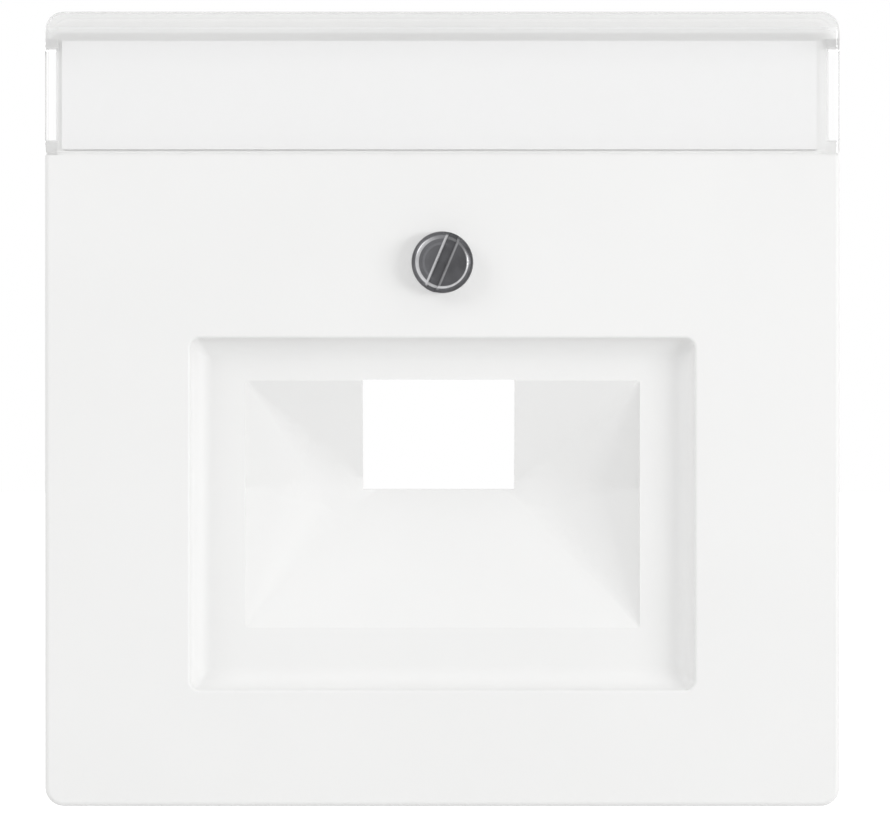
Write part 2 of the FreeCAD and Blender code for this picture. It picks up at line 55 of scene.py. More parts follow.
class NodeTree:
    """A short way to place and link nodes in one tree."""

    def __init__(self, tree: bpy.types.NodeTree) -> None:
        """Take the tree to work in."""
        self.tree = tree

    def add(self, kind: str, **inputs: object) -> bpy.types.Node:
        """Add a node and fill its inputs.

        Args:
            kind: The node's type, without its ShaderNode prefix.
            **inputs: Input names, with spaces as underscores, and either a value or a socket.

        Returns:
            The new node.
        """
        node = self.tree.nodes.new(f"ShaderNode{kind}")
        for name, value in inputs.items():
            self.feed(node, name.replace("_", " "), value)
        return node

    def feed(self, node: bpy.types.Node, name: str | int, value: object) -> None:
        """Give one input a plain value or a link from another node's socket."""
        if isinstance(value, bpy.types.NodeSocket):
            self.tree.links.new(value, node.inputs[name])
        else:
            node.inputs[name].default_value = value

    def maths(self, operation: str, *values: object, clamp: bool = False) -> bpy.types.NodeSocket:
        """Add a Math node and return its result."""
        node = self.tree.nodes.new("ShaderNodeMath")
        node.operation = operation
        node.use_clamp = clamp
        for index, value in enumerate(values):
            self.feed(node, index, value)
        return node.outputs[0]

    def band(self, value: object, low: float, high: float, soft: float) -> bpy.types.NodeSocket:
        """Return a mask that is 1 between two limits and fades over `soft` outside them."""
        rise = self.ramp(value, low - soft, low)
        fall = self.ramp(value, high, high + soft)
        return self.maths("SUBTRACT", rise, fall, clamp=True)

    def ramp(self, value: object, start: float, end: float) -> bpy.types.NodeSocket:
        """Return 0 before `start`, 1 after `end`, and a smooth step between."""
        node = self.tree.nodes.new("ShaderNodeMapRange")
        node.interpolation_type = "SMOOTHSTEP"
        self.feed(node, "Value", value)
        node.inputs["From Min"].default_value = start
        node.inputs["From Max"].default_value = end
        return node.outputs["Result"]

    def mix(self, mask: object, first: object, second: object) -> bpy.types.NodeSocket:
        """Mix two colours by a mask and return the colour."""
        node = self.tree.nodes.new("ShaderNodeMix")
        node.data_type = "RGBA"
        self.feed(node, 0, mask)
        self.feed(node, 6, first)
        self.feed(node, 7, second)
        return node.outputs[2]

    def place(self) -> bpy.types.NodeSocket:
        """Return the Object coordinates of the point being shaded."""
        return self.add("TexCoord").outputs["Object"]


def grain_group() -> bpy.types.NodeTree:
    """Build the shared effect of a moulded or pressed surface.

    Returns:
        A group with inputs Place, Fine (per metre), Coarse (per metre) and outputs Height,
        Cloud (slow variation, 0 to 1) and Speck (rare small marks, 0 to 1).
    """
    group = bpy.data.node_groups.new("surface_grain", "ShaderNodeTree")
    for name, kind in (("Place", "Vector"), ("Fine", "Float"), ("Coarse", "Float")):
        group.interface.new_socket(name, in_out="INPUT", socket_type=f"NodeSocket{kind}")
    for name in ("Height", "Cloud", "Speck"):
        group.interface.new_socket(name, in_out="OUTPUT", socket_type="NodeSocketFloat")
    tree = NodeTree(group)
    entry = group.nodes.new("NodeGroupInput")
    leave = group.nodes.new("NodeGroupOutput")
    fine = tree.add("TexNoise", Vector=entry.outputs["Place"], Scale=entry.outputs["Fine"])
    fine.inputs["Detail"].default_value = 4.0
    cloud = tree.add("TexNoise", Vector=entry.outputs["Place"], Scale=entry.outputs["Coarse"])
    cloud.inputs["Detail"].default_value = 3.0
    speck = tree.ramp(fine.outputs[0], 0.70, 0.80)
    group.links.new(fine.outputs[0], leave.inputs["Height"])
    group.links.new(cloud.outputs[0], leave.inputs["Cloud"])
    group.links.new(speck, leave.inputs["Speck"])
    return group


# ------------------------------------------------------------------ finishes


@dataclass(frozen=True)
class Finish:
    """What every finish has: a name, a colour and a roughness."""

    name: str
    colour: tuple[float, float, float]
    roughness: float

    def start(self) -> tuple[bpy.types.Material, NodeTree, bpy.types.Node]:
        """Make the material with an empty Principled shader.

        Returns:
            The material, its tree helper and the Principled node.
        """
        material = bpy.data.materials.new(self.name)
        material.use_nodes = True
        tree = NodeTree(material.node_tree)
        shader = material.node_tree.nodes["Principled BSDF"]
        shader.inputs["Base Color"].default_value = (*self.colour, 1.0)
        shader.inputs["Roughness"].default_value = self.roughness
        return material, tree, shader

    def grain(self, tree: NodeTree, fine: float, coarse: float) -> bpy.types.Node:
        """Place the shared grain group in the material, scaled in marks per metre."""
        node = tree.tree.nodes.new("ShaderNodeGroup")
        node.node_tree = bpy.data.node_groups["surface_grain"]
        tree.feed(node, "Place", tree.place())
        tree.feed(node, "Fine", fine)
        tree.feed(node, "Coarse", coarse)
        return node

    def bump(self, tree: NodeTree, shader: bpy.types.Node, height: object, depth: float) -> None:
        """Feed a height into the shader's normal, `depth` metres from low to high."""
        node = tree.add("Bump", Height=height)
        node.inputs["Distance"].default_value = depth
        tree.feed(shader, "Normal", node.outputs[0])


@dataclass(frozen=True)
class MouldedWhite(Finish):
    """White moulded plastic with a faint eroded grain and slow tone changes."""

    shade: tuple[float, float, float] = (0.785, 0.785, 0.78)
    fine: float = 3200.0
    coarse: float = 45.0
    grain_depth: float = 0.004 * MM
    gloss_spread: float = 0.12
    index: float = 1.49

    def build(self) -> bpy.types.Material:
        """Build the material and return it."""
        material, tree, shader = self.start()
        grain = self.grain(tree, self.fine, self.coarse)
        cloud = tree.ramp(grain.outputs["Cloud"], 0.3, 0.7)
        tone = tree.mix(cloud, (*self.shade, 1.0), (*self.colour, 1.0))
        tree.feed(shader, "Base Color", tone)
        least = self.roughness - self.gloss_spread / 2
        spread = tree.maths("MULTIPLY_ADD", grain.outputs["Cloud"], self.gloss_spread, least)
        tree.feed(shader, "Roughness", spread)
        self.bump(tree, shader, grain.outputs["Height"], self.grain_depth)
        shader.inputs["IOR"].default_value = self.index
        return material


@dataclass(frozen=True)
class ClearMoulding(Finish):
    """Clear polished plastic that lets the lamps through to the label behind it.

    Painted shade: in a fixed band under the top wall and over the ears the cover passes less of
    the lamps' light, darkening what lies behind. A ray caught between the walls goes straight on
    after `patience` turns.
    """

    index: float = 1.49
    shade_band_low: float = 29.67 * MM
    shade_band_high: float = 29.92 * MM
    shade_band_soft: float = 0.35 * MM
    ear_start: float = 30.6 * MM
    ear_foot: float = 28.8 * MM
    ear_share: float = 0.5
    patience: float = 2.5
    passes: float = 0.98
    painted_shade_passes: float = 0.62
    fine: float = 900.0
    coarse: float = 60.0
    scratch: float = 0.05

    def build(self) -> bpy.types.Material:
        """Build the material and return it."""
        material, tree, shader = self.start()
        shader.inputs["Transmission Weight"].default_value = 1.0
        shader.inputs["IOR"].default_value = self.index
        grain = self.grain(tree, self.fine, self.coarse)
        wear_and_painted_glint = tree.maths("MULTIPLY_ADD", grain.outputs["Speck"], self.scratch, self.roughness)
        tree.feed(shader, "Roughness", wear_and_painted_glint)
        through = tree.add("BsdfTransparent")
        parts = tree.add("SeparateXYZ", Vector=tree.place())
        # Painted shade: a band at a fixed height, and over the ears, passes less light to what
        # lies behind.
        painted_shade = tree.band(parts.outputs["Z"], self.shade_band_low, self.shade_band_high, self.shade_band_soft)
        across = tree.maths("ABSOLUTE", parts.outputs["X"])
        end = tree.ramp(across, self.ear_start - self.shade_band_soft, self.ear_start)
        ear_shade = tree.band(parts.outputs["Z"], self.ear_foot, self.shade_band_high, self.shade_band_soft)
        ear_shade = tree.maths("MULTIPLY", tree.maths("MULTIPLY", end, ear_shade), self.ear_share)
        painted_shade = tree.maths("MAXIMUM", painted_shade, ear_shade)
        open_tint, dark_tint = (self.passes,) * 3, (self.painted_shade_passes,) * 3
        tint = tree.mix(painted_shade, (*open_tint, 1.0), (*dark_tint, 1.0))
        tree.feed(through, "Color", tint)
        path = tree.add("LightPath")
        lit = tree.maths("MAXIMUM", path.outputs["Is Shadow Ray"], path.outputs["Is Diffuse Ray"])
        caught = tree.maths("GREATER_THAN", path.outputs["Ray Depth"], self.patience)
        lit = tree.maths("MAXIMUM", lit, caught)
        blend = tree.tree.nodes.new("ShaderNodeMixShader")
        tree.feed(blend, 0, lit)
        tree.feed(blend, 1, shader.outputs[0])
        tree.feed(blend, 2, through.outputs[0])
        output = tree.tree.nodes["Material Output"]
        tree.feed(output, "Surface", blend.outputs[0])
        return material


@dataclass(frozen=True)
class PaperStock(Finish):
    """Uncoated white paper with fibres and a slow cloudiness."""

    fibre: tuple[float, float, float] = (0.82, 0.82, 0.815)
    fibre_scale: float = 5200.0
    fibre_stretch: float = 0.25
    fine: float = 2600.0
    coarse: float = 180.0
    press_depth: float = 0.006 * MM

    def build(self) -> bpy.types.Material:
        """Build the material and return it."""
        material, tree, shader = self.start()
        grain = self.grain(tree, self.fine, self.coarse)
        stretched = tree.add("Mapping", Vector=tree.place())
        stretched.inputs["Scale"].default_value = (self.fibre_stretch, 1.0, 1.0)
        fibres = tree.add("TexNoise", Vector=stretched.outputs[0])
        fibres.inputs["Scale"].default_value = self.fibre_scale
        fibres.inputs["Detail"].default_value = 5.0
        mask = tree.ramp(fibres.outputs[0], 0.52, 0.72)
        tone = tree.mix(mask, (*self.colour, 1.0), (*self.fibre, 1.0))
        tree.feed(shader, "Base Color", tone)
        height = tree.maths("ADD", fibres.outputs[0], grain.outputs["Cloud"])
        self.bump(tree, shader, height, self.press_depth)
        shader.inputs["Specular IOR Level"].default_value = 0.2
        return material


@dataclass(frozen=True)
class TurnedSteel(Finish):
    """Bright plated steel, darkened face; painted highlights on rim and slot lips, painted sheen
    on one side.
    """

    plated: tuple[float, float, float]
    painted_glint_colour: tuple[float, float, float]
    centre: tuple[float, float, float]
    rim_start: float
    rim_end: float
    side_radius: float
    slot_half: float
    slot_depth: float
    slot_turn: float
    face_depth: float
    fine: float = 2400.0
    coarse: float = 500.0
    groove_pitch: float = 0.09 * MM
    groove_depth: float = 0.004 * MM
    groove_wobble: float = 0.04 * MM
    gloss_spread: float = 0.14
    sheen_arc_start: float = 1.44 * MM
    sheen_arc_end: float = 1.52 * MM
    mask_soft: float = 0.07 * MM
    sheen_start: float = 0.2 * MM
    sheen_end: float = -1.2 * MM
    lip_inside: float = 0.02 * MM
    lip_outside: float = 0.17 * MM
    far_lip_glint: float = 0.4
    side_band: float = 0.15 * MM
    rim_lean: float = 0.018
    faint_start: float = 0.9 * MM
    faint_end: float = 1.9 * MM
    faint_loss: float = 0.75

    def build(self) -> bpy.types.Material:
        """Build the material and return it."""
        material, tree, shader = self.start()
        shader.inputs["Metallic"].default_value = 1.0
        moved = tree.add("Mapping", Vector=tree.place())
        moved.vector_type = "TEXTURE"
        moved.inputs["Location"].default_value = self.centre
        moved.inputs["Rotation"].default_value = (0.0, self.slot_turn, 0.0)
        parts = tree.add("SeparateXYZ", Vector=moved.outputs[0])
        flat = tree.add("CombineXYZ", X=parts.outputs["X"], Y=parts.outputs["Z"])
        length = tree.tree.nodes.new("ShaderNodeVectorMath")
        length.operation = "LENGTH"
        tree.feed(length, 0, flat.outputs[0])
        radius = length.outputs["Value"]
        grain = self.grain(tree, self.fine, self.coarse)
        wobble = tree.maths("MULTIPLY", grain.outputs["Cloud"], self.groove_wobble)
        turned = tree.maths("ADD", radius, wobble)
        rings = tree.maths("MULTIPLY", turned, 2.0 * math.pi / self.groove_pitch)
        groove = tree.maths("MULTIPLY_ADD", tree.maths("SINE", rings), 0.5, 0.5)
        # Painted highlights: a bright ring on the rim and bright lips along the slot, the far lip
        # dimmer.
        rim = self.rim_glint_mask(tree, radius, parts.outputs["X"], parts.outputs["Z"])
        near = self.lip_glint_mask(tree, tree.maths("MULTIPLY", parts.outputs["X"], -1.0))
        far = tree.maths("MULTIPLY", self.lip_glint_mask(tree, parts.outputs["X"]), self.far_lip_glint)
        on_face = tree.ramp(parts.outputs["Y"], self.face_depth + 0.20 * MM, self.face_depth)
        lip = tree.maths("MULTIPLY", tree.maths("MAXIMUM", near, far), on_face)
        glint_breakup = tree.maths("MULTIPLY_ADD", grain.outputs["Height"], 0.5, 0.5)
        # The painted highlights, broken up by the grain.
        wear_and_painted_glint = tree.maths("MULTIPLY", tree.maths("MAXIMUM", rim, lip), glint_breakup, clamp=True)
        # Painted sheen: the face is lighter on one side of the slot, most of all in a faint arc.
        painted_sheen = tree.ramp(parts.outputs["X"], self.sheen_start, self.sheen_end)
        sheen_arc = tree.band(radius, self.sheen_arc_start, self.sheen_arc_end, self.mask_soft)
        painted_sheen = tree.maths("MULTIPLY", painted_sheen, tree.maths("MULTIPLY_ADD", sheen_arc, 1.4, 0.5))
        patch = tree.ramp(grain.outputs["Cloud"], 0.4, 0.6)
        tone = tree.maths("MULTIPLY_ADD", patch, 0.25, painted_sheen)
        light = tuple(2.0 * part for part in self.colour)
        soft = tree.mix(tone, (*self.colour, 1.0), (*light, 1.0))
        face = tree.mix(wear_and_painted_glint, soft, (*self.painted_glint_colour, 1.0))
        bright = self.plating_mask(tree, radius, parts.outputs["X"], parts.outputs["Y"])
        tree.feed(shader, "Base Color", tree.mix(bright, face, (*self.plated, 1.0)))
        spread = tree.maths("MULTIPLY_ADD", groove, self.gloss_spread, self.roughness - 0.05)
        tree.feed(shader, "Roughness", spread)
        self.bump(tree, shader, groove, self.groove_depth)
        return material

    def lip_glint_mask(self, tree: NodeTree, across: object) -> bpy.types.NodeSocket:
        """Return the mask of one slot lip's painted highlight, on the side where `across` is
        positive.
        """
        inner, outer = self.slot_half - self.lip_inside, self.slot_half + self.lip_outside
        return tree.band(across, inner, outer, self.mask_soft)

    def plating_mask(self, tree: NodeTree, radius: object, across: object,
                     depth: object) -> bpy.types.NodeSocket:
        """Return the mask of the bright plating: the head's side wall and all behind the slot."""
        start, end = self.side_radius - self.side_band, self.side_radius - self.mask_soft
        side = tree.ramp(radius, start, end)
        back = tree.ramp(depth, self.face_depth + 0.40 * MM, self.face_depth + 0.60 * MM)
        aside = tree.maths("ABSOLUTE", across)
        beside = tree.ramp(aside, self.slot_half, self.slot_half + 0.05 * MM)
        wall = tree.maths("MULTIPLY", tree.maths("MULTIPLY", side, back), beside)
        floor = self.face_depth + self.slot_depth
        return tree.maths("MAXIMUM", wall, tree.ramp(depth, floor + 0.05 * MM, floor + 0.15 * MM))

    def rim_glint_mask(self, tree: NodeTree, radius: object, across: object,
                 along: object) -> bpy.types.NodeSocket:
        """Return the mask of the rim's painted highlight: widest on the left, faint at one slot
        end.
        """
        inner = tree.maths("MULTIPLY_ADD", across, -self.rim_lean, radius)
        outer = tree.maths("MULTIPLY_ADD", across, self.rim_lean, radius)
        rise = tree.ramp(inner, self.rim_start - self.mask_soft, self.rim_start)
        fall = tree.ramp(outer, self.rim_end, self.rim_end + self.mask_soft)
        ring = tree.maths("SUBTRACT", rise, fall, clamp=True)
        faint = tree.ramp(along, self.faint_start, self.faint_end)
        left = tree.maths("MULTIPLY_ADD", faint, -self.faint_loss, 1.0)
        return tree.maths("MULTIPLY", ring, left)


@dataclass(frozen=True)
class NaturalNylon(Finish):
    """Plain unpigmented nylon with a slightly waxy surface."""

    fine: float = 3000.0
    coarse: float = 300.0
    cloud_share: float = 0.9
    grain_depth: float = 0.008 * MM

    def build(self) -> bpy.types.Material:
        """Build the material and return it."""
        material, tree, shader = self.start()
        grain = self.grain(tree, self.fine, self.coarse)
        cloudy = tuple(self.cloud_share * part for part in self.colour)
        tone = tree.mix(grain.outputs["Cloud"], (*self.colour, 1.0), (*cloudy, 1.0))
        tree.feed(shader, "Base Color", tone)
        self.bump(tree, shader, grain.outputs["Height"], self.grain_depth)
        return material


# ------------------------------------------------------------------ modelling helpers


def select_only(*objects: bpy.types.Object) -> None:
    """Deselect everything, then select the given objects and make the last one active."""
    bpy.ops.object.select_all(action="DESELECT")
    for item in objects:
        item.select_set(True)
        bpy.context.view_layer.objects.active = item


def apply_modifiers(item: bpy.types.Object) -> None:
    """Apply all modifiers of an object in their order."""
    select_only(item)
    for modifier in list(item.modifiers):
        bpy.ops.object.modifier_apply(modifier=modifier.name)


def edit_faces(item: bpy.types.Object, wanted: Callable[[bpy.types.MeshPolygon], bool]) -> None:
    """Start editing a piece with only some of its faces selected.

    Args:
        item: The piece.
        wanted: A test that returns True for each face to select.
    """
    select_only(item)
    bpy.ops.object.mode_set(mode="EDIT")
    bpy.ops.mesh.select_all(action="DESELECT")
    bpy.ops.object.mode_set(mode="OBJECT")
    for polygon in item.data.polygons:
        polygon.select = wanted(polygon)
    bpy.ops.object.mode_set(mode="EDIT")


def clean_mesh(item: bpy.types.Object) -> None:
    """Merge doubled points of a modelled piece, drop its slivers and turn its faces outward."""
    select_only(item)
    bpy.ops.object.mode_set(mode="EDIT")
    bpy.ops.mesh.select_all(action="SELECT")
    bpy.ops.mesh.remove_doubles(threshold=0.0005 * MM)
    bpy.ops.mesh.dissolve_degenerate(threshold=0.003 * MM)
    bpy.ops.mesh.normals_make_consistent(inside=False)
    bpy.ops.object.mode_set(mode="OBJECT")


def cut_triangles(item: bpy.types.Object) -> None:
    """Cut a piece's many-sided faces into even triangles, so that none folds on itself."""
    select_only(item)
    bpy.ops.object.mode_set(mode="EDIT")
    bpy.ops.mesh.select_all(action="SELECT")
    bpy.ops.mesh.quads_convert_to_tris(quad_method="BEAUTY", ngon_method="BEAUTY")
    bpy.ops.object.mode_set(mode="OBJECT")


def combine(base: bpy.types.Object, tool: bpy.types.Object, cut: Cut) -> None:
    """Work on one piece with another, then remove the other.

    Args:
        base: The piece that stays.
        tool: The piece that it is joined with, reduced by or trimmed to.
        cut: Which of these.
    """
    modifier = base.modifiers.new("combine", "BOOLEAN")
    modifier.operation = cut.value
    modifier.solver = "EXACT"
    modifier.object = tool
    apply_modifiers(base)
    bpy.data.objects.remove(tool)


@dataclass(frozen=True)
class Ring:
    """One ring of a turned piece, in metres."""

    radius: float
    depth: float


def rounded(outer: float, depth: float, radius: float, steps: int = 8) -> list[Ring]:
    """Return the rings of a quarter round from a side wall onto a front face.

    Args:
        outer: The radius of the side wall.
        depth: The depth of the front face.
        radius: The radius of the rounding.
        steps: The number of strips in the rounding.
    """
    turns = [math.pi / 2 * step / steps for step in range(steps + 1)]
    return [
        Ring(outer - radius + radius * math.cos(turn), depth + radius - radius * math.sin(turn))
        for turn in turns
    ]


def turn_piece(name: str, centre: Vector, rings: list[Ring], hollow: bool = False,
               sides: int = 96) -> bpy.types.Object:
    """Turn a piece about the plate's Y direction, from ring to ring.

    Args:
        name: The piece's name.
        centre: A point of the axis.
        rings: The rings in order along the outline; a hollow piece ends with its first ring.
        hollow: True for a piece with a bore, False to cap both ends.
        sides: The number of sides.

    Returns:
        The piece, at the origin, with its faces outward.
    """
    first = rings[0]
    bpy.ops.object.select_all(action="DESELECT")
    bpy.ops.mesh.primitive_circle_add(
        vertices=sides, radius=first.radius, fill_type="NOTHING" if hollow else "NGON",
        location=(centre.x, first.depth, centre.z), rotation=(math.pi / 2, 0.0, 0.0),
    )
    piece = bpy.context.object
    piece.name = name
    bpy.ops.object.transform_apply(location=True, rotation=True, scale=True)
    bpy.ops.object.mode_set(mode="EDIT")
    bpy.ops.mesh.select_all(action="SELECT")
    for before, after in zip(rings, rings[1:]):
        along = (0.0, after.depth - before.depth, 0.0)
        bpy.ops.mesh.extrude_region_move(TRANSFORM_OT_translate={"value": along})
        factor = after.radius / before.radius
        middle = (centre.x, after.depth, centre.z)
        bpy.ops.transform.resize(value=(factor, 1.0, factor), center_override=middle)
    bpy.ops.object.mode_set(mode="OBJECT")
    clean_mesh(piece)
    return piece


def shade(item: bpy.types.Object, angle: float) -> None:
    """Shade a piece smooth up to an angle, in degrees, and flat on its flat areas."""
    select_only(item)
    bpy.ops.object.shade_smooth()
    soften(item.data, angle, least_width=0.8 * MM)


def finish_piece(item: bpy.types.Object, material: bpy.types.Material, body: str,
                 node: str) -> None:
    """Give a piece its material, in its one slot, and its body, and hide the CAD node that it
    stands for.

    Args:
        item: The finished piece, at the origin, unturned and unscaled.
        material: Its material.
        body: The body that it rides on.
        node: The CAD node that it replaces.
    """
    item.data.materials.clear()
    item.data.materials.append(material)
    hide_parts(node)
    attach(item, body)
    log.info("%s stands for %s on %s", item.name, node, body)


def plane_key(polygon: bpy.types.MeshPolygon) -> tuple[float, ...]:
    """Return what the faces of one flat area have in common: direction and distance."""
    distance = polygon.normal.dot(polygon.center)
    return (*(round(part, 2) for part in polygon.normal), round(distance / (0.01 * MM)))


def find_flats(mesh: bpy.types.Mesh, least_width: float) -> dict[tuple[float, ...], Vector]:
    """Find the flat areas of a mesh that are wider than the strips of its roundings.

    Args:
        mesh: The merged mesh.
        least_width: The width, in metres, from which an area counts as flat.

    Returns:
        The plane of each flat area, as its key, and the area's mean normal.
    """
    faces = {}
    for polygon in mesh.polygons:
        faces.setdefault(plane_key(polygon), []).append(polygon)
    flats = {}
    for key, group in faces.items():
        points = [mesh.vertices[index].co for polygon in group for index in polygon.vertices]
        low = Vector([min(point[axis] for point in points) for axis in range(3)])
        high = Vector([max(point[axis] for point in points) for axis in range(3)])
        area = sum(polygon.area for polygon in group)
        if area / (high - low).length > least_width:
            normal = sum((polygon.normal * polygon.area for polygon in group), Vector())
            flats[key] = normal.normalized()
    return flats


def soften(mesh: bpy.types.Mesh, angle: float, least_width: float) -> None:
    """Shade roundings smooth and flat areas flat, each rounding meeting its flats square on.

    Args:
        mesh: The merged mesh.
        angle: The angle, in degrees, up to which neighbours are one rounding.
        least_width: The width, in metres, from which an area counts as flat.
    """
    limit = math.cos(math.radians(angle))
    flats = find_flats(mesh, least_width)
    around = [[] for _ in mesh.vertices]
    for polygon in mesh.polygons:
        for vertex in polygon.vertices:
            flat = flats.get(plane_key(polygon))
            around[vertex].append((polygon.normal.copy(), polygon.area, flat))
    normals = [None] * len(mesh.loops)
    for polygon in mesh.polygons:
        own = flats.get(plane_key(polygon))
        for loop, vertex in zip(polygon.loop_indices, polygon.vertices):
            near = [item for item in around[vertex] if item[0].dot(polygon.normal) > limit]
            level = [flat for _, _, flat in near if flat is not None]
            if own is None and level:
                own_normal = sum(level, Vector())
            elif own is None:
                own_normal = sum((normal * area for normal, area, _ in near), Vector())
            else:
                own_normal = own
            normals[loop] = own_normal.normalized()
    mesh.normals_split_custom_set(normals)


def smooth_copy(node: str, name: str, angle: float = 36.0) -> bpy.types.Object:
    """Copy a CAD node, merge its loose triangles and shade its roundings smooth.

    Args:
        node: The CAD node's name.
        name: The new piece's name.
        angle: The angle, in degrees, above which an edge stays sharp.

    Returns:
        The copy, with its own mesh.
    """
    source = bpy.data.objects[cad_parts[node].name]
    copy = bpy.data.objects.new(name, source.data.copy())
    bpy.context.collection.objects.link(copy)
    select_only(copy)
    bpy.ops.object.mode_set(mode="EDIT")
    bpy.ops.mesh.select_all(action="SELECT")
    bpy.ops.mesh.remove_doubles(threshold=0.001 * MM)
    bpy.ops.mesh.customdata_custom_splitnormals_clear()
    bpy.ops.object.mode_set(mode="OBJECT")
    shade(copy, angle)
    return copy


# ------------------------------------------------------------------ sub-assemblies


@dataclass
class PlateMoulding:
    """The white plate with its recess, funnel, boss and ribs."""

    finish: MouldedWhite = field(default_factory=lambda: MouldedWhite(
        name="white_moulding", colour=(0.80, 0.80, 0.795), roughness=0.52))

    def build(self) -> bpy.types.Object:
        """Build and dress the plate, and return it."""
        plate = smooth_copy("centre_plate", "plate_surface")
        finish_piece(plate, self.finish.build(), "plate", "centre_plate")
        return plate


@dataclass
class LabelWindow:
    """The clear cover and the paper strip behind it."""

    clear: ClearMoulding = field(default_factory=lambda: ClearMoulding(
        name="clear_moulding", colour=(0.99, 0.99, 0.99), roughness=0.015))
    gap: float = 0.02 * MM
    paper: PaperStock = field(default_factory=lambda: PaperStock(
        name="label_paper", colour=(0.83, 0.83, 0.83), roughness=0.85))

    def build_cover(self) -> bpy.types.Object:
        """Build and dress the clear cover, and return it."""
        cover = smooth_copy("label_cover", "cover_surface")
        self.relieve(cover)
        finish_piece(cover, self.clear.build(), "cover", "label_cover")
        return cover

    def relieve(self, cover: bpy.types.Object) -> None:
        """Draw the cover's rear faces off the plate by the gap that light needs.

        Args:
            cover: The cover, whose level rear faces lie on the plate.
        """
        edit_faces(cover, lambda polygon: polygon.normal.y > 0.999)
        bpy.ops.transform.translate(value=(0.0, -self.gap, 0.0))
        bpy.ops.object.mode_set(mode="OBJECT")

    def build_label(self) -> bpy.types.Object:
        """Build the paper strip with its cut edges, and return it."""
        label = smooth_copy("label_strip", "label_sheet")
        finish_piece(label, self.paper.build(), "plate", "label_strip")
        return label


